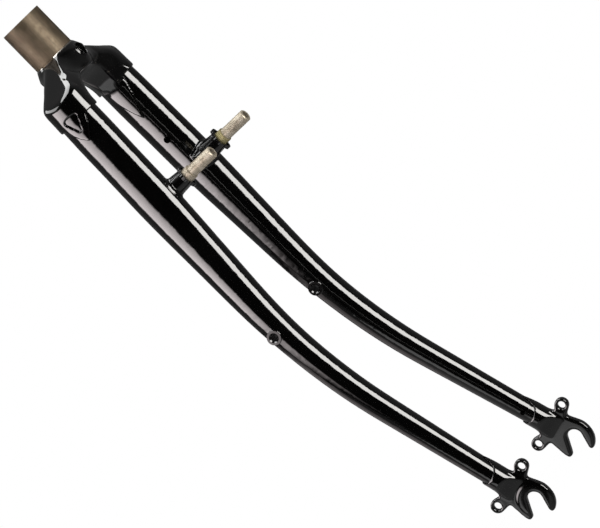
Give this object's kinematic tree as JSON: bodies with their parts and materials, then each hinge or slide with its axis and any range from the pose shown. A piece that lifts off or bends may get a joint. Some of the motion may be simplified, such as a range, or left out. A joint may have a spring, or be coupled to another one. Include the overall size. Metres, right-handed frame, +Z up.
{
  "type": "rigid bicycle fork",
  "caption": "Rigid steel bicycle fork with a lugged crown, raked tapered blades, slotted dropouts with eyelets, rack bosses and cantilever brake studs.",
  "frame": {"origin": "on the steering axis, at the crown-race seat where the bare steerer leaves the crown", "axes": "+X forward, +Y to the rider's left, +Z up along the steerer"},
  "size_m": [0.0802, 0.1204, 0.4372],
  "materials": {
    "black_paint": "gloss",
    "bare_steel": "raw drawn tube",
    "plated_steel": "dull plated"
  },
  "bodies": {
    "root": {"fork_crown": "black_paint", "blade_left": "black_paint", "blade_right": "black_paint", "dropout_left": "black_paint", "dropout_right": "black_paint", "brake_boss_left": "black_paint", "brake_boss_right": "black_paint", "spring_plate_left": "black_paint", "spring_plate_right": "black_paint", "rack_boss_left": "black_paint", "rack_boss_right": "black_paint", "steerer_tube": "bare_steel", "brake_stud_left": "plated_steel", "brake_stud_right": "plated_steel"}
  },
  "joints": []
}
